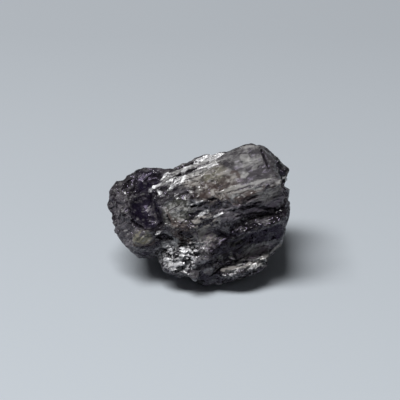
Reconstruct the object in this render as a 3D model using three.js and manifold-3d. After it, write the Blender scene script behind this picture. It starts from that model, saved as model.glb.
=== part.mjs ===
// Rough tanzanite: one broken prismatic crystal, about 25 mm long, lying on a small flat spot.
//
// The stone is worked out in its growth frame: x runs along the crystal's grain, y to the back
// and z up. Its blocks are convex pieces of crystal that grew together. They are joined into one
// rough solid, a fine skin is drawn over it and broken into plates and grains along the grain,
// and the stone is then turned into the pose in which it lies.
// Millimetres. In the finished part +X is the long direction, +Z is up, and the origin is under
// the middle of the stone, on the plane that it rests on.

import * as THREE from "three";
import { ConvexGeometry } from "three/addons/geometries/ConvexGeometry.js";
import { ImprovedNoise } from "three/addons/math/ImprovedNoise.js";
import { mergeVertices } from "three/addons/utils/BufferGeometryUtils.js";
import Module from "manifold-3d";

const wasm = await Module();
wasm.setup();

// ---- driving dimensions ----

const RISE = THREE.MathUtils.degToRad(17); // the grain climbs this much towards +X
const TURN = THREE.MathUtils.degToRad(8); // and turns this much to the back
const FLOOR_Z = -8.2; // height of the resting plane below the growth frame's origin

const DETAIL = 21; // fineness of the skin, which has 20 * (DETAIL + 1)^2 triangles
const WORN = 0.25; // the skin lies this much inside the faces of the blocks
const BOW = 0.4; // how far those faces bow and dent
const BOW_LENGTH = 4.2; // distance over which they do so
const END_CALM = 0.6; // the two broken ends are less broken up than the sides by this share
const OUTSIDE = 30; // a distance that is well outside the stone

// The line inside the stone to which the skin is drawn in.
const AXIS = new THREE.CatmullRomCurve3([
  new THREE.Vector3(-6, 0, 1),
  new THREE.Vector3(-3, -0.5, -2.4),
  new THREE.Vector3(1, -0.3, -2.2),
  new THREE.Vector3(8, 0, -0.5),
]);

// The plates of crystal in the skin: length along the grain, width across it, how far they stand
// apart and how much they slant.
const PLATES = [
  { long: 8.5, wide: 2.9, step: 0.5, slant: 0.24 },
  { long: 4.6, wide: 1.8, step: 0.2, slant: 0.26 },
];

// Zones of the surface with plates or grains of their own, fading out at the reach.
const ZONES = [
  { at: [-3.6, -4.6, -3.2], reach: 4.6, long: 2.1, wide: 1.9, step: 0.6, slant: 0.5 }, // shelf
  { at: [-9.8, -0.5, 3.6], reach: 3.8, long: 2.2, wide: 1.9, step: 0.4, slant: 0.4 }, // lobe
  { at: [8.6, -5.2, 1.4], reach: 4.6, long: 9, wide: 1.3, step: 0.4, slant: 0.3 }, // right front
  { at: [1.2, -5.6, 1.0], reach: 2.6, long: 6, wide: 1.3, step: 0.4, slant: 0.2 }, // middle front
];

// ---- solids ----

// One closed geometry as a manifold-3d solid.
function solidOf(geometry) {
  const bare = new THREE.BufferGeometry();
  const open = geometry.index ? geometry.toNonIndexed() : geometry;
  bare.setAttribute("position", open.getAttribute("position"));
  const merged = mergeVertices(bare, 1e-4);
  return new wasm.Manifold(
    new wasm.Mesh({
      numProp: 3,
      vertProperties: new Float32Array(merged.attributes.position.array),
      triVerts: new Uint32Array(merged.index.array),
    }),
  );
}

// A manifold-3d solid as a geometry.
function geometryOf(solid) {
  const mesh = solid.getMesh();
  const geometry = new THREE.BufferGeometry();
  const at = new THREE.BufferAttribute(new Float32Array(mesh.vertProperties), 3);
  geometry.setAttribute("position", at);
  geometry.setIndex(new THREE.BufferAttribute(new Uint32Array(mesh.triVerts), 1));
  return geometry;
}

// A piece of crystal with the given corners.
function block(corners) {
  return solidOf(new ConvexGeometry(corners.map((c) => new THREE.Vector3(...c))));
}

// A rounded hollow whose three radii run along the grain, across it and into the face that the
// hollow opens on.
function hollow(centre, radii, facing) {
  const ball = new THREE.IcosahedronGeometry(1, 4);
  ball.deleteAttribute("normal");
  ball.deleteAttribute("uv");
  ball.scale(...radii);
  const up = new THREE.Vector3(0, 0, 1);
  const open = new THREE.Vector3(...facing).normalize();
  ball.applyQuaternion(new THREE.Quaternion().setFromUnitVectors(up, open));
  ball.translate(...centre);
  return solidOf(ball);
}

function join(solids) {
  return solids.reduce((all, solid) => all.add(solid));
}

// ---- the blocks that grew together, by their corners ----

// The prism that runs through the stone, from its left shoulder to its right end.
const heart = block([
  [-6.2, 1.5, 3.0],
  [-5.6, 3.5, 3.5],
  [-5.6, 3, -1],
  [-5.6, -0.5, -3.2],
  [-5.8, -1.8, 0.5],
  [-4.8, -2.9, 4.0],
  [-4.9, 0, 6.4],
  [-4.6, 4.4, 6.6],
  [-4.6, 6.6, 2],
  [-4.6, 5.8, -4],
  [-3.6, 2, -7.4],
  [-4, -2.6, -6.6],
  [-4.4, -4.2, -2],
  [2.4, -3.6, 5.0],
  [3, -0.5, 7.6],
  [3.4, 4.6, 7.2],
  [3, 7.2, 1.5],
  [3, 6.8, -4],
  [-2, 3, -8.6],
  [3.5, 3.2, -9.9],
  [4.2, -3.6, -10.1],
  [-3, -4.0, -8.3],
  [-1, -4.6, -9.1],
  [2.6, -5.6, -4.5],
  [3, -5.9, -1.5],
  [2.6, -5.4, 1.8],
  [12.2, -3.9, 2.5],
  [12.2, 0, 4.5],
  [12, 6, 2],
  [11, 6.2, -2],
  [9.4, 2.5, -5.6],
  [8.7, -3.4, -6.6],
  [11.5, -4.4, -1.2],
]);

// The pale upper block with the hump, over the right half.
const crown = block([
  [1.8, -2.6, 5.4],
  [3.6, -3.9, 4.9],
  [4.2, -1.0, 7.1],
  [5.0, 3.4, 7.6],
  [3.6, 5.0, 6.0],
  [6.0, -5.4, 4.6],
  [8.4, 3.4, 7.0],
  [9.4, 3.0, 7.7],
  [10.5, 2.7, 7.4],
  [11.5, 2.0, 6.5],
  [12.0, 0.6, 6.1],
  [12.5, -5.2, 5.2],
  [12.9, -2.5, 4.8],
  [12.2, 4.6, 4.6],
  [8, 6.0, 4.6],
  [12.4, -5.3, 4.4],
  [6.4, -5.5, 3.9],
  [2.4, 1, 2],
  [11.5, 1, 1],
]);

// The lobe behind the right end.
const backLobe = block([
  [8.0, 4.6, 5.2],
  [8.0, 6.6, 3.4],
  [12.0, 4.8, 4.6],
  [13.1, 3.4, 4.0],
  [13.7, 2.8, 2.6],
  [14.1, 2.0, 1.5],
  [13.8, 0.4, 0.9],
  [13.5, 4.6, 0],
  [9, 7, -1],
  [12, 5, -2],
  [11.5, 0.5, -1.5],
  [9, 0, -1],
]);

// The end below the crown, which stands out under it less than the crown does.
const rightEnd = block([
  [5.2, -3.8, 3.6],
  [8.4, -4.4, 4.2],
  [12.5, -4.2, 3.6],
  [13.4, -1.5, 1.2],
  [13.4, 1.2, -1.4],
  [12.5, 3.6, -2.6],
  [12.4, -4.6, -0.2],
  [11.5, -4.2, -2.8],
  [10.4, -3.6, -5.6],
  [9.4, -3, -7.3],
  [5.2, -5.0, -0.4],
  [5.6, -5.0, -5.6],
  [9.8, -4.6, -4.6],
  [8, 4, -5],
  [8, 5, 3],
]);

// The ledge across the right front.
const ledge = block([
  [3.6, -5.4, 0.2],
  [12.3, -5.0, 0.3],
  [4.4, -6.3, -0.5],
  [8.4, -6.5, -0.5],
  [12.1, -5.6, -0.4],
  [4.4, -5.4, -1.6],
  [11.9, -4.8, -1.5],
  [4, -2, 0],
  [12, -2, 0],
]);

// The rounded lobe at the left end, before its hollow.
const lobe = block([
  [-11.5, -1, 2.4],
  [-11.9, 1.6, 4.8],
  [-10.8, 3.3, 7.1],
  [-9.1, 4.7, 7.6],
  [-7.4, 5.1, 7.8],
  [-5.6, 5.0, 7.9],
  [-4.2, 4.8, 7.7],
  [-1.4, 4.8, 6.6],
  [-11.2, 3, 1],
  [-9.6, 6.2, 3],
  [-2, 6.9, 3.0],
  [-10.5, -2.9, 0.6],
  [-8.8, -4.2, 2.4],
  [-6.6, -3.6, 4.2],
  [-4.2, -1.6, 5.6],
  [-10.6, -1.3, -1.2],
  [-9.3, -1.5, -3.1],
  [-7.2, -2.9, -2.3],
  [-9.0, 0.8, -4.3],
  [-8.2, 3.6, -5.2],
  [-3, 5.2, -4.5],
  [-3.6, -3.0, -3],
]);

// The shelf that slopes out at the lower left.
const shelf = block([
  [-6.4, -1.8, 0.4],
  [-0.9, -2.8, 0.8],
  [-7.2, -3.6, -2.8],
  [-6.9, -4.4, -3.4],
  [-5.6, -5.5, -4.3],
  [-3.8, -6.2, -4.7],
  [-1.6, -6.4, -4.7],
  [0.2, -6.0, -4.0],
  [1.4, -5.6, -1.4],
  [2.2, -5.6, -4.5],
  [-5.8, -3.8, -4.6],
  [-4.2, -4.5, -5.9],
  [-2.2, -4.9, -7.8],
  [0.4, -4.9, -9.0],
  [-6, 2, -4.5],
  [0, 2, -8],
]);

// The ledge along the foot.
const foot = block([
  [-1.5, -4.2, -6.4],
  [0.8, -6.0, -6.3],
  [6.6, -5.8, -5.4],
  [9.1, -4.4, -5.4],
  [0.4, -6.5, -6.9],
  [3.6, -6.9, -6.6],
  [6.6, -6.2, -6.1],
  [-0.5, -4.6, -9.2],
  [3, -4.4, -9.5],
  [6.2, -4.3, -8.5],
  [8.9, -3.4, -7.8],
  [3, 2, -8.4],
  [8, 2, -6.5],
]);

// The pale lump in the middle of the front.
const lump = block([
  [-4.2, -2.6, 3.9],
  [-3.6, -4.4, 2.8],
  [-2.2, -5.2, 2.3],
  [-0.6, -5.0, 2.6],
  [-0.8, -3.2, 4.6],
  [-3.2, -1.8, 5.6],
  [-4.0, -4.0, 0.8],
  [-0.8, -4.8, -0.2],
  [-3, 0, 2],
  [-0.4, 0, 2],
]);

// ---- hollows that broke out of them ----

const scoop = hollow([-6.4, -1.2, 7.0], [2.3, 4.6, 3.6], [-0.1, -0.45, 0.89]);
const cleft = hollow([-2.6, -6.4, 1.0], [1.2, 3.0, 1.8], [-0.1, -0.9, 0.44]);
const window = hollow([7.6, -7.0, -3.8], [3.6, 1.9, 2.4], [0.1, -1, -0.1]);
const notch = hollow([13.3, -3.0, 2.0], [1.0, 1.8, 1.0], [1, -0.5, 0.2]);

// The stepped recess in the middle of the front.
const recess = block([
  [-2.2, -7.5, 2.6],
  [-0.4, -4.3, 3.4],
  [2.6, -4.2, 3.4],
  [5.0, -7.5, 3.0],
  [5.0, -7.5, -1.0],
  [2.4, -4.8, -0.7],
  [-0.2, -4.5, -0.4],
  [-2.0, -7.5, -0.6],
]);

const rough = join([heart, crown, backLobe, rightEnd, ledge, shelf, foot, lump])
  .subtract(join([cleft, window, notch, recess]))
  .add(lobe.subtract(scoop));

// ---- the skin ----

// A number from 0 to 1 that belongs to one cell of space and one use of it.
function chance(cell, use) {
  const seed = cell.x * 374761 + cell.y * 668265 + cell.z * 974711 + use * 31337;
  return THREE.MathUtils.seededRandom(seed | 0);
}

// How far the plate of crystal at a point stands out. Each plate has one cell of space, long
// along the grain, and a flat face with its own height and slant.
function plateHeight(p, { long, wide, step, slant }) {
  const q = new THREE.Vector3(p.x / long, p.y / wide, p.z / wide);
  const home = q.clone().floor();
  const cell = new THREE.Vector3();
  const off = new THREE.Vector3();
  let nearest = Infinity;
  let height = 0;
  for (let n = 0; n < 27; n++) {
    cell.set(n % 3, Math.floor(n / 3) % 3, Math.floor(n / 9));
    cell.add(home).subScalar(1);
    off.subVectors(q, cell).sub({ x: chance(cell, 1), y: chance(cell, 2), z: chance(cell, 3) });
    if (off.lengthSq() >= nearest) continue;
    nearest = off.lengthSq();
    const across = (chance(cell, 4) - 0.5) * off.y + (chance(cell, 5) - 0.5) * off.z;
    const along = (chance(cell, 6) - 0.5) * off.x * 0.5;
    height = step * (chance(cell, 7) - 0.5) + 2 * slant * wide * (across + along);
  }
  return height;
}

// How strongly a zone acts at a point: 1 near its middle, 0 from its reach on.
function share(p, { at, reach }) {
  const distance = p.distanceTo(new THREE.Vector3(...at));
  return 1 - THREE.MathUtils.smoothstep(distance, 0.6 * reach, reach);
}

// The skin: points spread evenly over a ball move in to where they meet the rough stone, each
// along its own line to the axis, and then in and out with the plates.
function skin(solid) {
  const target = new THREE.Mesh(geometryOf(solid));
  const ball = new THREE.IcosahedronGeometry(1, DETAIL);
  ball.deleteAttribute("normal");
  ball.deleteAttribute("uv");
  const drawn = mergeVertices(ball, 1e-5);
  const place = drawn.getAttribute("position");
  const ray = new THREE.Raycaster();
  const noise = new ImprovedNoise();
  const out = new THREE.Vector3();
  for (let i = 0; i < place.count; i++) {
    out.fromBufferAttribute(place, i);
    const inside = AXIS.getPoint((1 + out.x) / 2);
    ray.set(inside.addScaledVector(out, OUTSIDE), out.clone().negate());
    const p = ray.intersectObject(target)[0].point;
    const bow = p.clone().divideScalar(BOW_LENGTH);
    const side = 1 - END_CALM * out.x ** 2;
    let lift = BOW * noise.noise(bow.x, bow.y, bow.z);
    for (const plates of PLATES) lift += side * plateHeight(p, plates);
    for (const zone of ZONES) lift += side * share(p, zone) * plateHeight(p, zone);
    p.addScaledVector(out, lift - WORN);
    place.setXYZ(i, p.x, p.y, p.z);
  }
  return drawn;
}

// ---- the stone as it lies ----

const pose = new THREE.Matrix4()
  .makeRotationZ(TURN)
  .multiply(new THREE.Matrix4().makeRotationY(-RISE));

const ground = new THREE.BoxGeometry(2 * OUTSIDE, 2 * OUTSIDE, OUTSIDE);
ground.translate(0, 0, FLOOR_Z - OUTSIDE / 2);
const lying = geometryOf(solidOf(skin(rough).applyMatrix4(pose)).subtract(solidOf(ground)));

lying.computeBoundingBox();
const middle = lying.boundingBox.getCenter(new THREE.Vector3());
lying.translate(-middle.x, -middle.y, -FLOOR_Z);

const stone = new THREE.Mesh(
  lying,
  new THREE.MeshStandardMaterial({
    name: "tanzanite",
    color: 0x4a4858,
    roughness: 0.35,
    metalness: 0,
  }),
);
stone.name = "stone";

const part = new THREE.Group();
part.add(stone);

export default part;
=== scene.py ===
"""A rough tanzanite crystal: the finish of its broken, grained surface, and a stage to see it on.

The stone is dressed in its growth frame, in millimetres: x runs along the crystal's grain, y to
the back and z up. The finished piece is in metres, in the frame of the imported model.
"""

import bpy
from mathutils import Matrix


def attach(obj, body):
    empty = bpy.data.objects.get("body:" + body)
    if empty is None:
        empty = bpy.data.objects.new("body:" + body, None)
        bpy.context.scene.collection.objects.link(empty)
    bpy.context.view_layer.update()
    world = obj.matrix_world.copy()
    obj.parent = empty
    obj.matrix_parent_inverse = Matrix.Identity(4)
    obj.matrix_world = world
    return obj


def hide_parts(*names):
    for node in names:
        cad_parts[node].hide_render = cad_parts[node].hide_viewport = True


bl_info = {
    "name": "Rough tanzanite",
    "version": (1, 0, 0),
    "blender": (4, 5, 0),
    "location": "3D View > Sidebar > Tanzanite",
    "description": "Dresses a rough tanzanite crystal and sets up a pale studio stage for it",
    "category": "Object",
}

import math

import bmesh
import bpy
import numpy as np
from bpy.props import FloatProperty, FloatVectorProperty, IntProperty, PointerProperty
from mathutils import Euler, Matrix, Vector

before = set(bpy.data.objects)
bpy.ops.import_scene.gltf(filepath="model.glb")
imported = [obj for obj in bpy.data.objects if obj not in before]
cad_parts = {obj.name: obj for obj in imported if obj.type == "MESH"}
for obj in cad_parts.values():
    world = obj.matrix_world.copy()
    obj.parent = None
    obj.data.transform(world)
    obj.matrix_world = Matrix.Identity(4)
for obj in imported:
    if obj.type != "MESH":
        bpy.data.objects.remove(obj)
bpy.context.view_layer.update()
NODE = "stone"

MM = 0.001
RISE = math.radians(17)  # the grain climbs this much towards +X
TURN = math.radians(8)  # and turns this much to the back
GROWTH_ORIGIN = Vector((0.085, -0.666, 8.2)) * MM  # where the growth frame starts in the part
GROWTH_TURN = Euler((0, -RISE, TURN))
GROWTH_TO_PART = Matrix.LocRotScale(GROWTH_ORIGIN, GROWTH_TURN, Vector((MM, MM, MM)))

CLEAVAGE = Vector((0.03, -0.40, 0.92)).normalized()  # the crystal splits across this direction
BRIGHT_FACE = Vector((-0.16, -0.50, 0.85))  # in the part: the silvery faces lie across this
INTO = Vector((-0.07, 0.79, -0.61))  # from the front down into the stone, in the growth frame
SHARP_ANGLE = math.radians(35)  # edges between faces that meet more steeply stay crisp
IOR = 1.69  # of zoisite, the mineral that tanzanite is


# ---- places on the stone, in the growth frame, in millimetres ----

# Regions with a look of their own: (middle, half sizes).
REGIONS = {
    "back": ((1.0, 9.0, 0.0), (13.0, 5.6, 9.0)),
    "end": ((14.8, 0.0, -1.0), (2.6, 6.5, 8.0)),
    "scoop": ((-6.4, -0.4, 4.0), (2.3, 2.5, 2.4)),
    "upper scoop": ((-5.2, 2.8, 6.5), (2.1, 1.9, 1.4)),
    "lobe": ((-9.8, -0.4, 3.6), (3.0, 4.8, 4.4)),
    "mauve": ((-10.2, -1.6, 2.6), (1.5, 2.0, 2.0)),
    "olive": ((-8.0, -3.8, 2.8), (1.6, 1.5, 1.6)),
    "band": ((1.0, 2.0, 6.8), (5.4, 2.1, 1.5)),
    "beige": ((1.1, -0.4, 6.8), (1.7, 1.1, 1.0)),
    "middle": ((0.6, -4.4, 2.2), (2.3, 1.4, 1.3)),
    "pink": ((-0.4, -4.6, -0.2), (2.0, 1.4, 1.5)),
    "pale column": ((4.5, -4.4, 3.1), (1.0, 1.2, 1.1)),
    "frost": ((-2.2, -2.8, 4.2), (2.2, 2.0, 1.9)),
    "tan": ((4.2, -2.4, 5.6), (3.4, 2.0, 1.5)),
    "pale spot": ((4.2, -0.6, 6.8), (1.7, 1.3, 1.0)),
    "crown": ((9.4, -0.6, 6.2), (4.6, 4.4, 1.9)),
    # Painted shade: the lower right of the crown is painted darker.
    "crown painted shade": ((10.6, -2.3, 5.8), (1.9, 1.5, 1.1)),
    "back lobe": ((12.9, 2.6, 2.6), (1.8, 3.2, 2.6)),
    "upper ledge": ((8.8, -4.7, 5.0), (4.6, 0.8, 0.45)),
    "recess": ((8.8, -4.5, 2.6), (4.6, 1.8, 1.9)),
    "recess roof": ((7.0, -4.8, 4.3), (1.9, 0.9, 0.6)),
    # Painted light: a pale pinkish glow painted at the end of the recess.
    "recess painted glow": ((10.2, -4.4, 3.5), (2.1, 1.4, 1.4)),
    "lower ledge": ((8.2, -5.8, -0.1), (4.6, 0.9, 0.4)),
    "window": ((8.4, -4.4, -2.8), (3.4, 1.9, 2.3)),
    "dark front": ((3.2, -5.0, -2.6), (3.4, 2.0, 3.0)),
    # Painted light: the shaded gap under the lower ledge is painted pale, to lighten its shadow.
    "undercut painted light": ((6.2, -5.0, -4.8), (2.8, 1.2, 0.8)),
    "foot": ((4.4, -6.0, -6.0), (4.2, 1.4, 0.9)),
    "shelf": ((-3.5, -4.3, -1.5), (3.4, 2.6, 2.2)),
    "rim": ((-3.2, -5.6, -5.6), (3.6, 2.0, 1.9)),
    "steps": ((1.5, -3.7, 4.0), (2.2, 1.3, 1.3)),
    "cleft": ((-2.6, -4.2, 1.4), (1.3, 1.6, 2.2)),
}

# Regions whose surface is only moved: a corner that is cut back, and two that hang out.
MOVED_REGIONS = {
    "corner": ((13.2, -0.4, 0.6), (1.2, 2.0, 1.8)),
    "toe": ((-1.2, -5.2, -7.4), (6.8, 2.6, 2.2)),
    "swell": ((-3.4, -5.0, -4.6), (3.4, 4.0, 3.6)),
}

# Single blades, raised, polished and painted pale as highlights; cracks, some of them painted
# shadows and shaded holes; crests, pale and painted as highlights on lit edges; and stains: half
# width, then the points of each line.
BLADE_HIGHLIGHTS = {
    "band flash": (0.65, (2.0, 3.6, 6.5), (5.9, 2.9, 6.9)),
    "band foot": (0.25, (3.2, 1.0, 6.9), (5.0, 0.6, 7.2)),
    "band middle": (0.3, (0.0, 1.5, 7.3), (2.1, 3.4, 6.4)),
    "prong flash": (0.32, (-4.6, 1.5, 6.4), (-3.3, 1.5, 6.5)),
    "prong tip": (0.3, (-5.7, 1.6, 5.6), (-4.6, 1.6, 6.2)),
    "prong top": (0.22, (-3.2, 2.9, 6.1), (-2.0, 3.6, 6.3)),
    "prong middle": (0.22, (-2.4, 0.9, 6.8), (-1.0, 1.1, 7.1)),
    "prong low": (0.25, (-2.4, -0.3, 6.4), (-0.7, 0.4, 6.8)),
    "prong end": (0.25, (-0.8, -0.4, 6.6), (0.4, 0.7, 7.0)),
    "prong root": (0.25, (-4.0, 0.3, 6.4), (-3.3, -0.6, 5.9)),
    "upper step": (0.25, (-0.1, -2.9, 4.7), (1.5, -3.2, 5.0)),
    "middle step": (0.25, (0.3, -3.6, 3.1), (2.3, -3.8, 3.5)),
    "lower step": (0.2, (2.3, -4.3, 2.6), (3.9, -4.8, 3.2)),
    "foot left": (0.3, (1.7, -6.1, -6.3), (3.1, -6.2, -6.1)),
    "foot middle": (0.35, (4.3, -6.3, -6.3), (5.5, -6.2, -6.1)),
    "foot right": (0.3, (5.8, -6.0, -5.9), (7.3, -5.5, -5.9)),
    "shelf left": (0.4, (-5.7, -3.1, 0.2), (-4.8, -3.3, -1.4)),
    "shelf middle": (0.55, (-4.0, -4.3, -2.0), (-2.6, -4.3, -1.8)),
    "shelf back": (0.25, (-3.6, -3.7, -1.4), (-2.5, -3.8, -1.1)),
    "shelf front": (0.25, (-5.0, -4.5, -2.8), (-3.6, -5.0, -3.2)),
    "shelf edge": (0.3, (-3.0, -5.3, -3.9), (-2.1, -5.5, -3.5)),
    "lobe foot": (0.2, (-6.0, -3.5, 2.3), (-5.2, -3.2, 2.3)),
    "back chip": (0.4, (12.8, 0.6, 1.3), (13.1, 0.9, 1.3)),
}
CRACKS_AND_SHADOWS = {
    "band top": (0.3, (-1.7, 3.8, 6.3), (2.7, 3.6, 6.4)),
    # Painted shadow: a dark line under a blade on the band.
    "band middle": (0.3, (-0.9, 1.1, 7.2), (1.9, 1.5, 6.9)),
    "upper step": (0.28, (-0.2, -3.0, 4.5), (2.3, -3.5, 4.5)),
    "middle step": (0.3, (-0.7, -3.3, 3.5), (1.6, -3.7, 3.3)),
    "step end": (0.25, (2.3, -3.3, 4.9), (3.5, -3.6, 4.8), (4.0, -4.8, 3.0)),
    "hump side": (0.25, (11.3, 1.4, 6.7), (11.5, -2.0, 5.8)),
    "recess roof": (0.16, (6.3, -5.1, 3.9), (9.1, -4.3, 2.3)),
    "recess middle": (0.22, (5.1, -4.8, 2.9), (7.7, -4.4, 2.4), (10.6, -4.2, 0.5)),
    "recess floor": (0.2, (5.2, -4.9, 2.0), (8.6, -4.3, 0.7), (10.9, -5.2, 0.1)),
    "scoop rim": (0.25, (-8.7, -1.4, 4.2), (-7.8, -2.0, 3.1), (-6.3, -2.7, 2.9), (-4.8, -2.6, 3.0)),
    # Painted shadow: a dark line under the scoop's top edge.
    "scoop top shadow": (0.45, (-5.3, 3.1, 6.7), (-3.2, 3.5, 6.4)),
    "outer notch": (0.3, (-8.7, 2.5, 6.7), (-7.4, 3.9, 6.9)),
    "inner notch": (0.25, (-7.2, 2.5, 6.1), (-6.3, 4.1, 7.1)),
    # Painted shade: the hole at the foot of the cleft is painted black.
    "cleft foot": (0.5, (-2.8, -4.3, 1.7), (-1.4, -4.5, 0.7)),
    "cleft right": (0.14, (-2.9, -2.9, 3.4), (-2.8, -4.1, 1.2)),
    "cleft left": (0.14, (-3.7, -2.4, 4.0), (-3.4, -4.0, 1.6)),
    # Painted shadow: a dark line under the blade at the back of the shelf.
    "shelf back": (0.4, (-5.9, -3.5, 1.7), (-4.2, -3.3, 0.6)),
    "shelf left": (0.15, (-5.4, -3.6, -2.1), (-3.5, -4.0, -1.4)),
    "shelf middle": (0.15, (-4.9, -4.1, -2.4), (-2.9, -3.9, -1.5)),
    "shelf right": (0.15, (-2.3, -4.1, -1.3), (-1.6, -5.9, -2.9)),
    # Painted shade: the two holes in the front are painted dark.
    "front upper": (0.4, (5.9, -5.2, 0.1), (7.6, -5.9, 0.0)),
    "front left": (0.3, (4.0, -5.2, 0.5), (4.2, -5.7, -1.0)),
    # Painted shadow: a dark line by the foot.
    "foot left": (0.4, (-0.7, -5.6, -3.5), (0.5, -5.8, -3.9)),
}
CRESTS_AND_HIGHLIGHTS = {
    # Painted highlight: pale lines along lit ledge edges and rims, partly pale crystal and partly
    # painted light.
    "ledge crest": (0.3, (4.0, -3.0, 5.3), (8.4, -3.8, 5.6), (11.3, -4.2, 5.6)),
    "ledge foot": (0.2, (5.6, -4.0, 5.2), (9.4, -4.6, 5.3)),
    "hump rim": (0.2, (8.6, 2.4, 7.3), (10.4, 1.9, 7.2)),
    "hump chip": (0.4, (7.7, -2.6, 6.3), (8.6, -2.2, 6.1)),
    "hump glow": (0.7, (8.4, 0.6, 7.2), (9.4, -0.4, 6.8)),
    "hump end": (0.3, (9.3, -1.8, 6.2), (10.2, -1.2, 6.2)),
    "lower ledge": (0.16, (7.0, -5.4, 0.7), (11.2, -5.2, 0.5)),
    "foot ledge": (0.35, (-0.1, -5.8, -5.2), (3.3, -6.0, -6.0), (5.9, -6.0, -6.0)),
    "foot end": (0.3, (5.9, -6.0, -6.0), (7.8, -5.0, -6.1), (9.5, -3.9, -5.9)),
}
STAINS = {
    "step": (0.4, (1.5, -2.7, 5.5), (2.7, -3.0, 5.2)),
    "tan top": (0.4, (2.8, -1.5, 6.4), (3.9, -2.5, 5.8)),
    "tan arch": (0.25, (6.3, -1.3, 6.5), (7.1, -1.0, 6.4), (7.4, -3.0, 6.1)),
    "ledge": (0.4, (6.8, -4.3, 5.1), (8.9, -4.8, 4.8)),
    "groove left": (0.16, (3.5, -2.6, 5.6), (4.0, -3.9, 4.1)),
    "groove middle": (0.16, (4.0, -3.1, 5.3), (4.7, -4.1, 3.6)),
    "groove right": (0.16, (4.6, -3.3, 5.4), (5.2, -4.4, 4.2)),
    "cleft right": (0.2, (-3.3, -2.5, 4.1), (-3.0, -4.1, 0.7)),
    "cleft left": (0.16, (-3.6, -1.7, 4.7), (-3.2, -4.4, 2.2)),
    "olive rim": (0.3, (-9.4, -3.4, 1.8), (-7.4, -3.8, 0.9), (-6.2, -3.9, 1.4)),
}
MARKS = {"blade_highlight": BLADE_HIGHLIGHTS, "crack_and_shade": CRACKS_AND_SHADOWS, "crest_highlight": CRESTS_AND_HIGHLIGHTS, "stain": STAINS}

# The finish of each region, laid on in this order: its pale and its dark colour, the tones
# between which dark turns to pale, and how clear the crystal is where it is dark.
FINISHES = {
    "back": ("lilac", "indigo", 0.36, 0.58, 0.5),
    "end": ("lilac", "indigo", 0.38, 0.58, 0.5),
    "lobe": ("veil", "body", 0.36, 0.56, 0.4),
    "recess": ("plum", "indigo", 0.3, 0.5, 0.3),
    "dark front": ("moss", "body", 0.52, 0.68, 0.6),
    "mauve": ("lilac", "veil", 0.44, 0.7, 0.3),
    "olive": ("olive", "veil", 0.36, 0.56, 0.2),
    "crown": ("frost", "veil", 0.4, 0.72, 0.5),
    # Painted shade on the lower right of the crown.
    "crown painted shade": ("lilac", "veil", 0.55, 0.75, 0.5),
    "tan": ("beige", "tan", 0.44, 0.56, 0.3),
    "frost": ("frost", "moss", 0.45, 0.6, 0.3),
    "beige": ("beige", "tan", 0.42, 0.56, 0.2),
    "pale spot": ("beige", "olive", 0.4, 0.6, 0.2),
    "pale column": ("lilac", "veil", 0.4, 0.56, 0.3),
    "middle": ("beige", "body", 0.42, 0.6, 0.4),
    "pink": ("beige", "plum", 0.42, 0.6, 0.1),
    "back lobe": ("veil", "green", 0.5, 0.7, 0.9),
    "band": ("frost", "veil", 0.4, 0.54, 0.3),
    # Painted highlight: the shelf's pale facets take the near-white blade colour.
    "shelf": ("blade_highlight", "body", 0.4, 0.56, 0.5),
    "upper ledge": ("frost", "tan", 0.36, 0.6, 0.2),
    "recess roof": ("tan", "stain", 0.44, 0.6, 0.2),
    # Painted light: the glow at the end of the recess.
    "recess painted glow": ("beige", "plum", 0.3, 0.52, 0.1),
    "lower ledge": ("veil", "body", 0.48, 0.65, 0.8),
    "foot": ("frost", "body", 0.46, 0.58, 0.5),
    "window": ("plum", "night", 0.6, 0.74, 0.95),
    "upper scoop": ("veil", "indigo", 0.55, 0.7, 0.6),
    "scoop": ("veil", "indigo", 0.5, 0.68, 0.6),
    # Painted light in the shaded gap under the lower ledge.
    "undercut painted light": ("frost", "plum", 0.4, 0.6, 0.1),
    "cleft": ("tan", "stain", 0.46, 0.62, 0.3),
    "rim": ("green", "body", 0.5, 0.7, 0.8),
}


# ---- sizes and colours ----


def length_of(name, description, default):
    """A length property. Its default is in metres."""
    return FloatProperty(name=name, description=description, default=default, unit="LENGTH")


def colour_of(name, description, default):
    """A colour property."""
    return FloatVectorProperty(
        name=name, description=description, default=default, subtype="COLOR", min=0, max=1
    )


class StoneShape(bpy.types.PropertyGroup):
    """Sizes of the broken surface."""

    voxel: length_of("Voxel", "Fineness of the mesh", 0.000139)
    evening: IntProperty(
        name="Evening", description="Passes that even out the model's facets", default=2
    )
    plate_length: length_of("Plate length", "Length of a plate along the grain", 0.0052)
    plate_width: length_of("Plate width", "Width of a plate across the grain", 0.0016)
    plate_step: length_of("Plate step", "How far plates stand apart", 0.00014)
    plate_slant: FloatProperty(
        name="Plate slant", description="How much the faces of the plates slant", default=0.2
    )
    grain_size: length_of("Grain size", "Size of a grain on the shelf and the lobe", 0.00075)
    grain_slant: FloatProperty(
        name="Grain slant", description="How much the faces of the grains slant", default=0.5
    )
    tread: length_of("Tread", "Height of the steps along which the crystal splits", 0.0007)
    ledge_rise: length_of("Ledge rise", "How far the ledges stand out", 0.00022)
    blade_rise: length_of("Blade rise", "How far the silvery blades stand out", 0.0001)
    crest_rise: length_of("Crest rise", "How far the pale crests stand out", 0.00008)
    crack_depth: length_of("Crack depth", "Depth of the cracks", 0.0002)
    corner_cut: length_of("Corner cut", "How far the corner at the right end is cut back", 0.0004)
    scoop_depth: length_of("Scoop depth", "How much the scoop is deepened", 0.0004)
    overhang: length_of("Overhang", "How far the front hangs out over the floor", 0.0014)
    seed: IntProperty(name="Seed", description="Another pattern of plates and grains", default=3)


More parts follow.
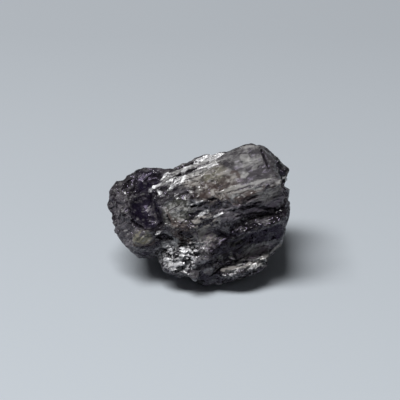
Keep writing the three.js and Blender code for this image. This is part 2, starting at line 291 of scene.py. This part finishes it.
class StoneColours(bpy.types.PropertyGroup):
    """Colours of the crystal."""

    body: colour_of("Body", "Dark body of the crystal", (0.019, 0.0145, 0.022))
    veil: colour_of("Veil", "Fine cracks and veils in the body", (0.145, 0.134, 0.148))
    plum: colour_of("Plum", "Veils in the recess", (0.25, 0.21, 0.245))
    moss: colour_of("Moss", "Veils on the front", (0.135, 0.135, 0.12))
    indigo: colour_of("Indigo", "Clear crystal in the scoop", (0.028, 0.02, 0.05))
    night: colour_of("Night", "Clear crystal in the window", (0.008, 0.005, 0.013))
    lilac: colour_of("Lilac", "Cloudy crystal of the crown", (0.2, 0.187, 0.208))
    frost: colour_of("Frost", "Crushed, frosty crystal", (0.46, 0.455, 0.445))
    beige: colour_of("Beige", "Pale ridges and crests", (0.37, 0.345, 0.32))
    tan: colour_of("Tan", "Stained cracks", (0.155, 0.125, 0.115))
    olive: colour_of("Olive", "Yellow-green stain", (0.25, 0.235, 0.18))
    green: colour_of("Green grey", "Lobe behind the right end", (0.085, 0.092, 0.09))
    # Painted highlight: the near-white colour of the blades and of the shelf's pale facets stands
    # for their glints.
    blade_highlight: colour_of("Blade", "Silvery single blades", (0.76, 0.76, 0.78))
    stain: colour_of("Stain", "Red-brown stained cracks", (0.075, 0.05, 0.045))
    sheen: colour_of("Sheen", "Tint of the reflections on clear crystal", (0.36, 0.3, 0.45))
    clear: colour_of("Clear", "Surface of the clear crystal", (0.95, 0.94, 0.97))
    depth: colour_of("Depth", "Colour that clear crystal takes with depth", (0.5, 0.44, 0.54))
    reach: length_of("Reach", "Depth over which the clear crystal darkens", 0.0007)


class StageSettings(bpy.types.PropertyGroup):
    """The floor, the light and the camera."""

    # Painted shade: the floor is painted darker towards the back, where the light falls off.
    floor_front: colour_of("Floor in front", "Floor at the front", (0.68, 0.735, 0.79))
    floor_back_shaded: colour_of("Floor behind", "Floor behind the stone", (0.54, 0.58, 0.625))
    room: colour_of("Room", "Colour of the pale room", (0.92, 0.92, 0.94))
    surround: FloatProperty(
        name="Surround", description="Brightness of the pale room", default=0.05
    )
    key_power: FloatProperty(
        name="Key light", description="Power of the softbox overhead", default=3.1, unit="POWER"
    )
    key_distance: length_of("Key distance", "From the floor under the stone to the softbox", 0.6)
    key_width: length_of("Key width", "Size of the softbox along the stone", 0.4)
    key_depth: length_of("Key depth", "Size of the softbox across the stone", 0.16)
    elevation: FloatProperty(
        name="Camera height", description="Angle of the camera above the floor",
        default=math.radians(37), subtype="ANGLE", unit="ROTATION",
    )
    distance: length_of("Camera distance", "From the stone to the camera", 0.26)
    lens: FloatProperty(name="Lens", description="Focal length in millimetres", default=169)


# ---- nodes written as formulas ----


class Wire:
    """An output socket of a node. Formulas on it add Math nodes to its tree."""

    def __init__(self, tree, socket=None):
        self.tree = tree
        self.socket = socket

    def node(self, kind, settings=None, sockets=None, out=0):
        """Adds a node: its settings come first, then the values or links of its sockets."""
        made = self.tree.nodes.new(kind)
        for name, value in (settings or {}).items():
            setattr(made, name, value)
        for name, value in (sockets or {}).items():
            if isinstance(value, Wire):
                self.tree.links.new(value.socket, made.inputs[name])
            else:
                made.inputs[name].default_value = value
        return Wire(self.tree, made.outputs[out] if made.outputs else None)

    def output(self, name):
        """Another output of the node that this wire comes from."""
        return Wire(self.tree, self.socket.node.outputs[name])

    def math(self, operation, *others):
        """This number and others, through a Math node."""
        sockets = dict(enumerate((self, *others)))
        return self.node("ShaderNodeMath", {"operation": operation}, sockets)

    def vector(self, operation, *others, out="Vector"):
        """This vector and others, through a Vector Math node."""
        sockets = dict(enumerate((self, *others)))
        return self.node("ShaderNodeVectorMath", {"operation": operation}, sockets, out)

    def scaled(self, factor):
        """This vector times a number."""
        settings = {"operation": "SCALE"}
        return self.node("ShaderNodeVectorMath", settings, {"Vector": self, "Scale": factor})

    def centred(self):
        """This random colour or noise, moved so that it lies around zero."""
        return self.vector("SUBTRACT", (0.5, 0.5, 0.5))

    def channel(self, axis):
        """X, Y or Z of this vector, or that channel of this colour, as a number."""
        return self.node("ShaderNodeSeparateXYZ", {}, {"Vector": self}, axis)

    def __add__(self, other):
        return self.math("ADD", other)

    def __sub__(self, other):
        return self.math("SUBTRACT", other)

    def __mul__(self, other):
        return self.math("MULTIPLY", other)

    def __truediv__(self, other):
        return self.math("DIVIDE", other)

    def __radd__(self, other):
        return self + other

    def __rmul__(self, other):
        return self * other

    def __rsub__(self, other):
        return self.node("ShaderNodeMath", {"operation": "SUBTRACT"}, {0: other, 1: self})

    def ease(self, low, high):
        """0 below low and 1 above high, with a soft step between, also where low is above high."""
        settings = {"interpolation_type": "SMOOTHSTEP"}
        sockets = {"Value": self, "From Min": low, "From Max": high}
        return self.node("ShaderNodeMapRange", settings, sockets)

    def mix(self, first, second):
        """A colour that goes from the first to the second with this wire."""
        made = self.tree.nodes.new("ShaderNodeMix")
        made.data_type = "RGBA"
        sockets = {"Factor_Float": self, "A_Color": first, "B_Color": second}
        for socket in made.inputs:
            value = sockets.get(socket.identifier)
            if isinstance(value, Wire):
                self.tree.links.new(value.socket, socket)
            elif value is not None:
                socket.default_value = value
        mixed = next(socket for socket in made.outputs if socket.identifier == "Result_Color")
        return Wire(self.tree, mixed)


def most(first, *others):
    """The greatest of some wires."""
    for other in others:
        first = first.math("MAXIMUM", other)
    return first


def noise(p, size, detail=2, rough=0.5, out="Fac"):
    """Smooth noise, 0 to 1, whose lumps have the given size along each axis."""
    place = p.vector("DIVIDE", size)
    settings = {"noise_dimensions": "3D"}
    sockets = {"Vector": place, "Scale": 1.0, "Detail": detail, "Roughness": rough}
    return p.node("ShaderNodeTexNoise", settings, sockets, out)


def ragged(p, reach, size):
    """The place p, moved about by noise so that borders drawn with it are ragged."""
    push = noise(p, size, 3, 0.6, "Color").centred()
    return p.vector("ADD", push.scaled(reach))


def stretched(p, long, wide):
    """The place p, measured in cells that are long along x. The sizes may be wires."""
    size = p.node("ShaderNodeCombineXYZ", {}, {"X": long, "Y": wide, "Z": wide})
    return p.vector("DIVIDE", size)


def cells(place, feature="F1", sockets=None, out="Color"):
    """A Voronoi texture with cells of size 1: by default a random colour for each."""
    inputs = {"Vector": place, "Scale": 1.0, **(sockets or {})}
    return place.node("ShaderNodeTexVoronoi", {"feature": feature}, inputs, out)


def to_seam(place):
    """How far a place is from the nearest border between two cells of size 1."""
    return cells(place, "DISTANCE_TO_EDGE", out="Distance")


def region(p, name, edge=0.35):
    """1 inside a region and 0 outside it."""
    middle, size = (REGIONS | MOVED_REGIONS)[name]
    away = p.vector("SUBTRACT", middle).vector("DIVIDE", size)
    return away.vector("LENGTH", out="Value").ease(1 + edge, 1 - edge)


def squashed(place):
    """A place with little depth along INTO, so that a line marks whatever surface is near it."""
    share = 0.6
    if isinstance(place, Wire):
        depth = place.vector("DOT_PRODUCT", INTO, out="Value") * share
        return place.vector("SUBTRACT", depth.vector("MULTIPLY", INTO))
    return Vector(place) - INTO * Vector(place).dot(INTO) * share


def stroke(place, start, end, half):
    """1 on a line that is thick in the middle and thin at its ends, and 0 away from it."""
    way = end - start
    away = place.vector("SUBTRACT", start)
    along = away.vector("DOT_PRODUCT", way / way.length_squared, out="Value")
    along = along.node("ShaderNodeClamp", {}, {"Value": along})
    gap = away.vector("SUBTRACT", along.vector("MULTIPLY", way))
    thick = (1.3 - (along - 0.5).math("ABSOLUTE") * 1.6) * half
    return (gap.vector("LENGTH", out="Value") / thick).ease(1.0, 0.7)


def lines(p, table):
    """1 on the lines of a table and 0 away from them."""
    place = squashed(p)
    strokes = []
    for half, *points in table.values():
        points = [squashed(point) for point in points]
        strokes += [stroke(place, start, end, half) for start, end in zip(points, points[1:])]
    return most(*strokes)


# ---- the stone's shape ----


def plates(p, long, wide, step, slant, soft=0.12):
    """Height of flat plates: each has its own height and slant, with a short ramp between."""
    place = stretched(p, long, wide)
    chance = cells(place, "SMOOTH_F1", {"Smoothness": soft})
    offset = place.vector("SUBTRACT", chance.output("Position"))
    chance = chance.centred()
    lean = chance.vector("MULTIPLY", (0.4, 2.0, 2.0))
    tilt = lean.vector("DOT_PRODUCT", offset, out="Value")
    return chance.channel("X") * step + tilt * slant * wide


def roofs(p, long, wide, high):
    """Height of crests with flat flanks that meet in grooves."""
    return to_seam(stretched(p, long, wide)) * high


def terraces(p, q, tread):
    """How far the place p moves to lie on the nearest of the flat steps along the cleavage.

    Each block of crystal around q has steps at levels of its own.
    """
    level = p.vector("DOT_PRODUCT", CLEAVAGE, out="Value") / tread
    block = cells(stretched(q, 1.5, 1.1)).channel("X")
    return (0.5 - (level + block).math("FRACT")) * tread


def relief(p, q, given, masks, marks):
    """How far the broken skin stands out. The place q bends the plates and the ribs."""
    long, wide = given["Plate length"], given["Plate width"]
    step, slant = given["Plate step"], given["Plate slant"]
    size = given["Grain size"]
    coarse = plates(q, long * 0.55, wide, step, slant)
    middling = plates(q, long * 0.25, wide * 0.5, step * 0.5, slant)
    grains = plates(q, size, size, size * 0.2, given["Grain slant"], 0.08)
    ribs = roofs(q, long * 2, wide * 0.42, step * 2.6)
    grooves = roofs(q, long, wide * 0.3, step * 1.8)

    scoop = masks["scoop"] + masks["upper scoop"] * 0.7
    front = (masks["dark front"] + masks["window"]).math("MINIMUM", 1.0)
    grainy = most(masks["shelf"], masks["lobe"] * 0.6)
    ribbed = most(masks["back"], masks["band"])
    grooved = masks["recess"] * 0.5 + masks["steps"]
    ledges = region(p, "upper ledge") + region(p, "lower ledge") + masks["foot"]
    plain = (
        (1 - scoop * 0.9)
        * (1 - masks["crown"] * 0.75)
        * (1 - front * 0.5)
        * (1 - masks["rim"] * 0.65)
        * (1 - masks["back"] * 0.5)
        * (1 - masks["end"] * 0.4)
    )
    return (
        (coarse + middling) * plain * (1 - grainy * 0.7)
        + grains * grainy * plain
        + ribs * ribbed
        + grooves * grooved
        + ledges * given["Ledge rise"]
        + marks["blade_highlight"] * given["Blade rise"]
        + marks["crest_highlight"] * given["Crest rise"]
        - marks["crack_and_shade"] * given["Crack depth"]
        - region(p, "corner") * given["Corner cut"]
        - scoop * given["Scoop depth"]
    )


def relief_tree(material, sizes):
    """Geometry nodes that break a smooth skin into plates along the grain, and into grains.

    Each of the sizes is an input of the tree.
    """
    tree = bpy.data.node_groups.new("Broken crystal", "GeometryNodeTree")
    tree.interface.new_socket("Geometry", in_out="INPUT", socket_type="NodeSocketGeometry")
    for name in sizes:
        tree.interface.new_socket(name, in_out="INPUT", socket_type="NodeSocketFloat")
    tree.interface.new_socket("Geometry", in_out="OUTPUT", socket_type="NodeSocketGeometry")
    start = tree.nodes.new("NodeGroupInput")
    given = {socket.name: Wire(tree, socket) for socket in start.outputs if socket.name}
    begin = Wire(tree)

    p = begin.node("GeometryNodeInputPosition")
    seed = given["Seed"] * 13.7
    seeds = begin.node("ShaderNodeCombineXYZ", {}, {"X": seed, "Y": seed, "Z": seed})
    q = ragged(p, 1.4, (9, 5, 5)).vector("ADD", seeds)
    edge = ragged(p, 1.2, (1.4, 1.0, 1.0))
    rough = ragged(p, 0.6, (1.2, 0.5, 0.5))
    carved = (
        "back", "end", "scoop", "upper scoop", "lobe", "band", "crown", "recess", "window",
        "dark front", "foot", "shelf", "rim", "steps",
    )
    masks = {name: region(edge, name) for name in carved}
    marks = {name: lines(rough, table) for name, table in MARKS.items()}
    height = relief(p, q, given, masks, marks)

    normal = begin.node("GeometryNodeInputNormal")
    cleavage = begin.node("FunctionNodeInputVector", {"vector": CLEAVAGE})
    outwards = begin.node("FunctionNodeInputVector", {"vector": -INTO})
    split = most(masks["shelf"] * 0.7, masks["foot"] * 0.9)
    rise = terraces(p, q, given["Tread"]) * split
    forward = most(region(p, "toe", 0.5), region(p, "swell", 0.6)) * given["Overhang"]
    offset = normal.scaled(height).vector("ADD", cleavage.scaled(rise))
    offset = offset.vector("ADD", outwards.scaled(forward))
    blurred = begin.node(
        "GeometryNodeBlurAttribute", {"data_type": "FLOAT"}, {"Value": height, "Iterations": 4}
    )

    kept = given["Geometry"]
    # The ridge is how far the skin stands above its blurred self: the finish paints it as highlight
    # on crests and shade in hollows.
    for name, value in {"relief_highlight_and_shade": height - blurred, **marks}.items():
        kept = begin.node(
            "GeometryNodeStoreNamedAttribute",
            {"data_type": "FLOAT", "domain": "POINT"},
            {"Geometry": kept, "Name": name, "Value": value},
        )
    moved = begin.node("GeometryNodeSetPosition", {}, {"Geometry": kept, "Offset": offset})
    realized = begin.node("GeometryNodeRealizeInstances", {}, {"Geometry": moved})
    sockets = {"Geometry": realized, "Material": material}
    finished = begin.node("GeometryNodeSetMaterial", {}, sockets)
    end = tree.nodes.new("NodeGroupOutput")
    tree.links.new(finished.socket, end.inputs[0])
    return tree


def set_inputs(modifier, values):
    """Sets a nodes modifier's inputs, by the identifiers of their sockets."""
    for item in modifier.node_group.interface.items_tree:
        if item.item_type == "SOCKET" and item.in_out == "INPUT" and item.name in values:
            modifier[item.identifier] = values[item.name]


def bare_form():
    """A copy of the model's mesh with its faces joined, in the growth frame."""
    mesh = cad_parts[NODE].data.copy()
    mesh.name = "broken_crystal"
    mesh.materials.clear()
    form = bmesh.new()
    form.from_mesh(mesh)
    bmesh.ops.remove_doubles(form, verts=form.verts, dist=0.0001 * MM)
    form.to_mesh(mesh)
    form.free()
    mesh.transform(GROWTH_TO_PART.inverted())
    return mesh


def seat(mesh):
    """Keeps the underside flat where it rests: nothing reaches below the floor."""
    place = np.zeros(len(mesh.vertices) * 3, np.float32)
    mesh.vertices.foreach_get("co", place)
    place[2::3] = np.maximum(place[2::3], 0)
    mesh.vertices.foreach_set("co", place)
    mesh.update()


def build_stone(shape, colours):
    """The stone: the model's form on a fine mesh, broken into plates and grains."""
    mesh = bare_form()
    piece = bpy.data.objects.new("crystal_surface", mesh)
    bpy.context.scene.collection.objects.link(piece)
    remesh = piece.modifiers.new("Fine mesh", "REMESH")
    remesh.mode = "VOXEL"
    remesh.voxel_size = shape.voxel / MM
    even = piece.modifiers.new("Even", "SMOOTH")
    even.factor = 0.5
    even.iterations = shape.evening
    sizes = {
        "Plate length": shape.plate_length / MM,
        "Plate width": shape.plate_width / MM,
        "Plate step": shape.plate_step / MM,
        "Plate slant": shape.plate_slant,
        "Grain size": shape.grain_size / MM,
        "Grain slant": shape.grain_slant,
        "Tread": shape.tread / MM,
        "Ledge rise": shape.ledge_rise / MM,
        "Blade rise": shape.blade_rise / MM,
        "Crest rise": shape.crest_rise / MM,
        "Crack depth": shape.crack_depth / MM,
        "Corner cut": shape.corner_cut / MM,
        "Scoop depth": shape.scoop_depth / MM,
        "Overhang": shape.overhang / MM,
        "Seed": float(shape.seed),
    }
    broken = piece.modifiers.new("Broken crystal", "NODES")
    broken.node_group = relief_tree(tanzanite(colours), sizes)
    set_inputs(broken, sizes)

    evaluated = piece.evaluated_get(bpy.context.evaluated_depsgraph_get())
    finished = bpy.data.meshes.new_from_object(evaluated)
    if not finished.polygons:
        raise RuntimeError("the stone's surface came out empty")
    finished.transform(GROWTH_TO_PART)
    piece.modifiers.clear()
    piece.data = finished
    bpy.data.meshes.remove(mesh)
    seat(finished)
    finished.shade_smooth()
    finished.set_sharp_from_angle(angle=SHARP_ANGLE)
    return piece


# ---- the finish ----


def tint(colour):
    """A colour with its alpha."""
    return (*colour, 1.0)


class CrystalWires:
    """What the crystal's colour, lean and polish share."""

    def __init__(self, tree):
        begin = Wire(tree)
        p = begin.node("ShaderNodeMapping", {"vector_type": "TEXTURE"}, {
            "Vector": begin.node("ShaderNodeTexCoord", out="Object"),
            "Location": GROWTH_ORIGIN,
            "Rotation": GROWTH_TURN,
            "Scale": (MM, MM, MM),
        })
        bent = ragged(p, 1.2, (3.5, 2.0, 2.0))
        edge = ragged(p, 1.6, (1.3, 0.8, 0.8))
        masks = {name: region(edge, name) for name in REGIONS}
        self.begin = begin
        self.p = p
        self.bent = bent
        self.masks = masks
        self.marks = {
            name: begin.node("ShaderNodeAttribute", {"attribute_name": name}, out="Fac")
            for name in ("relief_highlight_and_shade", *MARKS)
        }
        self.dark_front = most(masks["window"], masks["dark front"])
        self.granular = most(masks["shelf"], masks["foot"])
        self.striped = most(*(masks[name] for name in ("band", "recess", "steps", "foot", "back")))

        # The small broken faces and the chips on them: each has its own shade, lean and polish.
        face = cells(stretched(bent, 1.25, 0.85))
        self.face = self.striped.mix(face, cells(stretched(bent, 5.0, 0.42)))
        chip = cells(stretched(p, 0.42, 0.28))
        self.chip = self.striped.mix(chip, cells(stretched(bent, 1.8, 0.2)))

        # The blades turn to the light, and are painted pale as a highlight, where they aren't worn.
        self.blades = self.marks["blade_highlight"] * noise(p, (0.9, 0.25, 0.25)).ease(0.35, 0.55)


def crystal_tone(crystal):
    """How pale the crystal is from place to place: streaks along the grain, lumps elsewhere."""
    bent = crystal.bent
    lumps = noise(bent, (1.6, 1.2, 1.2), 6, 0.62)
    streaks = noise(bent, (4.5, 0.26, 0.26), 4, 0.6)
    clouds = noise(bent, (1.8, 1.2, 1.2), 6, 0.65)
    grain = lumps + crystal.striped * (streaks - lumps)
    faces = crystal.face.channel("Y") * 0.12
    chips = crystal.chip.channel("Y") * 0.16
    tone = grain * 0.9 + faces + chips - 0.09
    tone = tone + crystal.masks["crown"] * 0.7 * (clouds - tone)
    # Blades and crests are made paler here, as part of their painted highlights.
    return tone + crystal.marks["blade_highlight"] * 0.12 + crystal.marks["crest_highlight"] * 0.1


def crystal_body(crystal, colours):
    """The colour of each region, and how clear it is."""
    masks = crystal.masks
    body, veil, lilac = tint(colours.body), tint(colours.veil), tint(colours.lilac)
    tone = crystal_tone(crystal)
    zone = noise(crystal.bent, (6.0, 2.5, 2.5), 3).ease(0.5, 0.62)
    zone = zone * (1 - crystal.dark_front) * (1 - masks["rim"])
    colour = tone.ease(0.44, 0.62).mix(body, veil)
    colour = zone.mix(colour, tone.ease(0.4, 0.6).mix(veil, lilac))
    clear = 0.6 - 0.3 * zone
    for name, (pale, dark, low, high, glass) in FINISHES.items():
        share = tone.ease(low, high)
        finish = share.mix(tint(getattr(colours, dark)), tint(getattr(colours, pale)))
        colour = masks[name].mix(colour, finish)
        clear = clear + masks[name] * (glass * (1 - 0.8 * share) - clear)
    return colour, clear


def crystal_colour(crystal, colours):
    """The colour with painted highlights on its crests and painted shade in its hollows, its flakes
    and seams, and its marks, some of them painted highlights and shadows; and how clear the crystal
    is.
    """
    masks, marks = crystal.masks, crystal.marks
    relief_highlight_and_shade, crack_and_shade, crest_highlight, stain = (marks[name] for name in ("relief_highlight_and_shade", "crack_and_shade", "crest_highlight", "stain"))
    body, frost, beige = tint(colours.body), tint(colours.frost), tint(colours.beige)
    colour, clear = crystal_body(crystal, colours)
    flake = cells(stretched(crystal.p, 0.36, 0.24)).channel("X")
    seam = to_seam(stretched(crystal.bent, 2.4, 1.5)).ease(0.04, 0.0)
    for share, layer in (
        # Painted highlight on the crests and painted shade in the hollows of the relief.
        (relief_highlight_and_shade.ease(0.02, 0.12) * (1 - crystal.dark_front * 0.95), tint(colours.lilac)),
        (relief_highlight_and_shade.ease(-0.02, -0.12), body),
        (flake.ease(0.9, 0.95) * 0.45, frost),
        (flake.ease(0.12, 0.06) * 0.5, body),
        (seam * 0.7 * (1 - masks["crown"]), body),
        (stain * 0.8, tint(colours.stain)),
        # The cracks are painted dark, and so are the painted shadows and shaded holes among them.
        (crack_and_shade * 0.9, body),
        # Painted highlight: the blades are painted near white where they glint.
        (crystal.blades * 0.8, tint(colours.blade_highlight)),
        # Painted highlight on the crests: beige, and frost on the crown.
        (crest_highlight * (0.7 - masks["crown"] * 0.35), masks["crown"].mix(beige, frost)),
    ):
        colour = share.mix(colour, layer)
    return colour, clear * (1 - stain * 0.7) * (1 - marks["blade_highlight"] * 0.8) * (1 - crest_highlight * 0.8)


def turn_to_light(crystal):
    """How far each face turns to the light: the blades do, and part of the bright faces."""
    masks = crystal.masks
    bright = masks["band"] * 0.8 + masks["shelf"] * 0.9 + masks["foot"] * 0.45
    glint = crystal.granular.mix(crystal.face, crystal.chip).channel("Z")
    return (bright * glint.ease(0.4, 0.8) + crystal.blades).math("MINIMUM", 0.85)


def crystal_normal(crystal, turn):
    """The faces lean each its own way, and some turn to the light."""
    masks = crystal.masks
    normal = crystal.begin.node("ShaderNodeNewGeometry", out="Normal")
    sockets = {0: BRIGHT_FACE, 1: normal}
    to_light = normal.node("ShaderNodeVectorMath", {"operation": "SUBTRACT"}, sockets).scaled(turn)
    face_lean = crystal.face.centred().scaled(0.4)
    chip_lean = crystal.chip.centred().scaled(crystal.granular * 0.3 + 0.25)
    smooth = masks["crown"] * 0.6 + masks["scoop"] * 0.4 + masks["upper scoop"] * 0.5
    lean = face_lean.vector("ADD", chip_lean).scaled(1 - smooth)
    normal = normal.vector("ADD", to_light).vector("ADD", lean).vector("NORMALIZE")
    fine = noise(crystal.p, (0.5, 0.25, 0.25), 3, 0.6)
    sockets = {"Strength": 0.25, "Distance": 0.1 * MM, "Height": fine, "Normal": normal}
    return crystal.begin.node("ShaderNodeBump", {}, sockets)


def crystal_polish(crystal, turn):
    """How much each face is polished, and how dull the clear crystal is."""
    masks = crystal.masks
    shaded = most(crystal.dark_front, masks["rim"])
    dull = most(
        masks["crown"], masks["scoop"] * 0.8, masks["upper scoop"] * 0.8, shaded * 0.7
    )
    faces = crystal.face.channel("X").ease(0.85, 0.9) * (1 - masks["lobe"])
    chips = crystal.chip.channel("X").ease(0.88, 0.92)
    polish = (faces + chips) * (1 - dull) + turn
    return polish.math("MINIMUM", 1.0), dull


def tanzanite(colours):
    """Glassy broken crystal: dark body, pale veils along the grain, stains and frost."""
    material = bpy.data.materials.new("tanzanite")
    material.use_nodes = True
    material.node_tree.nodes.clear()
    crystal = CrystalWires(material.node_tree)
    begin = crystal.begin
    colour, clear = crystal_colour(crystal, colours)
    turn = turn_to_light(crystal)
    normal = crystal_normal(crystal, turn)
    polish, dull = crystal_polish(crystal, turn)

    cloudy = begin.node("ShaderNodeBsdfPrincipled", {}, {
        "Base Color": colour,
        "Roughness": 0.5,
        "IOR": IOR,
        "Specular IOR Level": 0.15,
        "Normal": normal,
    })
    glassy = begin.node("ShaderNodeBsdfPrincipled", {}, {
        "Base Color": tint(colours.clear),
        "Roughness": dull * 0.2 + 0.06,
        "IOR": IOR,
        "Specular Tint": tint(colours.sheen),
        "Transmission Weight": 1.0,
        "Normal": normal,
    })
    polished = begin.node("ShaderNodeBsdfPrincipled", {}, {
        "Base Color": colour,
        "Roughness": 0.1,
        "IOR": IOR,
        "Normal": normal,
    })
    depth = begin.node("ShaderNodeVolumeAbsorption", {}, {
        "Color": tint(colours.depth), "Density": 1 / colours.reach,
    })
    inner = begin.node("ShaderNodeMixShader", {}, {0: clear, 1: cloudy, 2: glassy})
    surface = begin.node("ShaderNodeMixShader", {}, {0: polish, 1: inner, 2: polished})
    begin.node("ShaderNodeOutputMaterial", {}, {"Surface": surface, "Volume": depth})
    return material


# ---- the stage ----

KEY_DIRECTION = Vector((-0.27, -0.07, 0.96)).normalized()  # from the stone to the softbox
TARGET = Vector((0.26, 0.74, 10.11)) * MM  # the point of the stone that the camera looks at
SENSOR_WIDTH = 36


def build_floor(stage):
    """A plain pale floor, painted a little darker behind the stone: painted shade where the light
    falls off.
    """
    bpy.ops.mesh.primitive_plane_add(size=3)
    floor = bpy.context.object
    floor.name = "floor"
    material = bpy.data.materials.new("floor")
    material.use_nodes = True
    material.node_tree.nodes.clear()
    begin = Wire(material.node_tree)
    # Painted shade: the floor darkens from front to back.
    depth = begin.node("ShaderNodeTexCoord", out="Object").channel("Y")
    sockets = {"Value": depth, "From Min": -0.03, "From Max": 0.06}
    back = begin.node("ShaderNodeMapRange", {}, sockets)
    surface = begin.node("ShaderNodeBsdfPrincipled", {}, {
        "Base Color": back.mix(tint(stage.floor_front), tint(stage.floor_back_shaded)),
        "Roughness": 0.8,
        "Specular IOR Level": 0.2,
    })
    begin.node("ShaderNodeOutputMaterial", {}, {"Surface": surface})
    floor.data.materials.append(material)


def build_lights(stage):
    """A softbox overhead that faces the stone, and a pale room around it."""
    light = bpy.data.lights.new("key", "AREA")
    light.shape = "RECTANGLE"
    light.size = stage.key_width
    light.size_y = stage.key_depth
    light.energy = stage.key_power
    softbox = bpy.data.objects.new("key", light)
    bpy.context.scene.collection.objects.link(softbox)
    along = Vector((0, 1, 0)).cross(KEY_DIRECTION).normalized()
    across = KEY_DIRECTION.cross(along)
    softbox.location = KEY_DIRECTION * stage.key_distance
    softbox.rotation_euler = Matrix((along, across, KEY_DIRECTION)).transposed().to_euler()
    softbox.visible_camera = False

    world = bpy.data.worlds.new("room")
    world.use_nodes = True
    background = world.node_tree.nodes["Background"]
    background.inputs["Color"].default_value = tint(stage.room)
    background.inputs["Strength"].default_value = stage.surround
    bpy.context.scene.world = world


def build_camera(stage):
    """A long lens from the front, above the stone."""
    back = Vector((0, -math.cos(stage.elevation), math.sin(stage.elevation)))
    camera = bpy.data.cameras.new("camera")
    camera.lens = stage.lens
    camera.sensor_width = SENSOR_WIDTH
    camera.clip_start = 0.01
    camera.clip_end = 10
    viewer = bpy.data.objects.new("camera", camera)
    bpy.context.scene.collection.objects.link(viewer)
    viewer.location = TARGET + back * stage.distance
    viewer.rotation_euler = back.to_track_quat("Z", "Y").to_euler()
    bpy.context.scene.camera = viewer


# ---- the add-on ----


class TANZANITE_OT_stone(bpy.types.Operator):
    """Build the stone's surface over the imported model"""

    bl_idname = "tanzanite.stone"
    bl_label = "Stone"

    def execute(self, context):
        scene = context.scene
        piece = build_stone(scene.tanzanite_shape, scene.tanzanite_colours)
        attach(piece, "root")
        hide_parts(NODE)
        return {"FINISHED"}


class TANZANITE_OT_stage(bpy.types.Operator):
    """Build the floor, the light and the camera"""

    bl_idname = "tanzanite.stage"
    bl_label = "Stage"

    def execute(self, context):
        stage = context.scene.tanzanite_stage
        build_floor(stage)
        build_lights(stage)
        build_camera(stage)
        context.scene.view_settings.view_transform = "Standard"
        return {"FINISHED"}


class TANZANITE_PT_panel(bpy.types.Panel):
    """The stone and its stage"""

    bl_idname = "TANZANITE_PT_panel"
    bl_label = "Tanzanite"
    bl_space_type = "VIEW_3D"
    bl_region_type = "UI"
    bl_category = "Tanzanite"

    def draw(self, context):
        for operator in OPERATORS:
            self.layout.operator(operator.bl_idname)


OPERATORS = (TANZANITE_OT_stone, TANZANITE_OT_stage)
CLASSES = (StoneShape, StoneColours, StageSettings, *OPERATORS, TANZANITE_PT_panel)


def register():
    """Registers the classes, and gives the scene its sizes and colours."""
    for cls in CLASSES:
        bpy.utils.register_class(cls)
    bpy.types.Scene.tanzanite_shape = PointerProperty(type=StoneShape)
    bpy.types.Scene.tanzanite_colours = PointerProperty(type=StoneColours)
    bpy.types.Scene.tanzanite_stage = PointerProperty(type=StageSettings)


def unregister():
    """Takes back what register did."""
    del bpy.types.Scene.tanzanite_stage
    del bpy.types.Scene.tanzanite_colours
    del bpy.types.Scene.tanzanite_shape
    for cls in reversed(CLASSES):
        bpy.utils.unregister_class(cls)


def main():
    """Builds the stone and its stage."""
    register()
    bpy.ops.tanzanite.stone()
    bpy.ops.tanzanite.stage()


if __name__ == "__main__":
    main()
